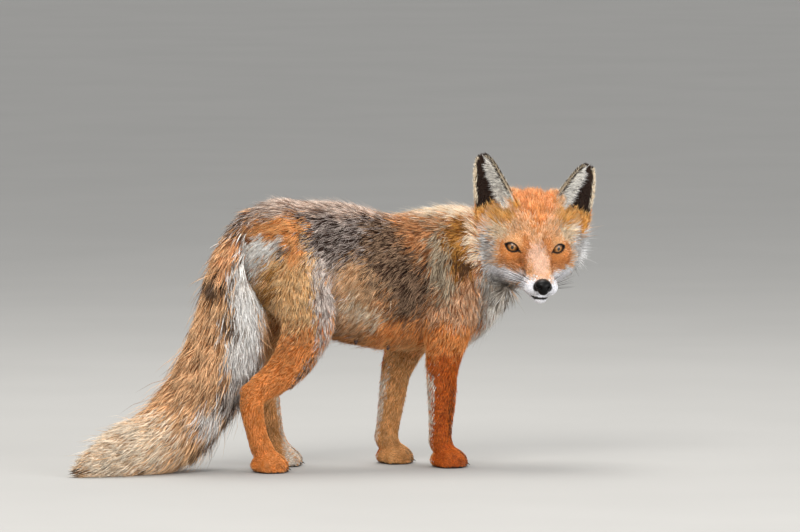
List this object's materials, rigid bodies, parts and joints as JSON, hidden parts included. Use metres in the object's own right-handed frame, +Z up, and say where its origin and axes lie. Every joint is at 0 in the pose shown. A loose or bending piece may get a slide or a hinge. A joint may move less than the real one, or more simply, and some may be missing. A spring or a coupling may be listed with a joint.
{
  "type": "red fox",
  "caption": "Standing red fox with its head turned to its right and its brush trailing to the ground, as a still life-size model.",
  "frame": {"origin": "middle of the bounding box at the floor", "axes": "+X the way the body faces, along the back; +Y the animal's left; +Z up"},
  "size_m": [0.7524, 0.2334, 0.4358],
  "materials": {
    "face_coat": "short dense fur, rusty orange with pale lips and cheeks, matt with a faint sheen",
    "pale_coat": "off-white fur of chin and throat",
    "body_coat": "long guard hair, banded orange, umber, grey and cream",
    "leg_coat": "short fur, burnt orange, paler behind",
    "tail_coat": "long loose brush hair, tan with dark tips and a grey underside",
    "ear_coat": "short fur, black backs, pale rim, grey-white hair inside",
    "nose": "black, pebbled and moist",
    "eye": "wet glossy amber iris with a dark pupil",
    "claw": "dark horn",
    "whisker": "dark stiff hair"
  },
  "bodies": {
    "root": {"head": "face_coat", "jaw": "pale_coat", "nose": "nose", "ear_right": "ear_coat", "ear_left": "ear_coat", "eye_right": "eye", "eye_left": "eye", "neck": "body_coat", "chest": "body_coat", "belly": "body_coat", "rump": "body_coat", "tail_upper": "tail_coat", "tail_lower": "tail_coat", "fore_right_upper": "leg_coat", "fore_right_lower": "leg_coat", "fore_right_paw": "leg_coat", "fore_left_upper": "leg_coat", "fore_left_lower": "leg_coat", "fore_left_paw": "leg_coat", "hind_right_thigh": "leg_coat", "hind_right_shank": "leg_coat", "hind_right_foot": "leg_coat", "hind_right_paw": "leg_coat", "hind_left_thigh": "leg_coat", "hind_left_shank": "leg_coat", "hind_left_foot": "leg_coat", "hind_left_paw": "leg_coat"}
  },
  "joints": []
}
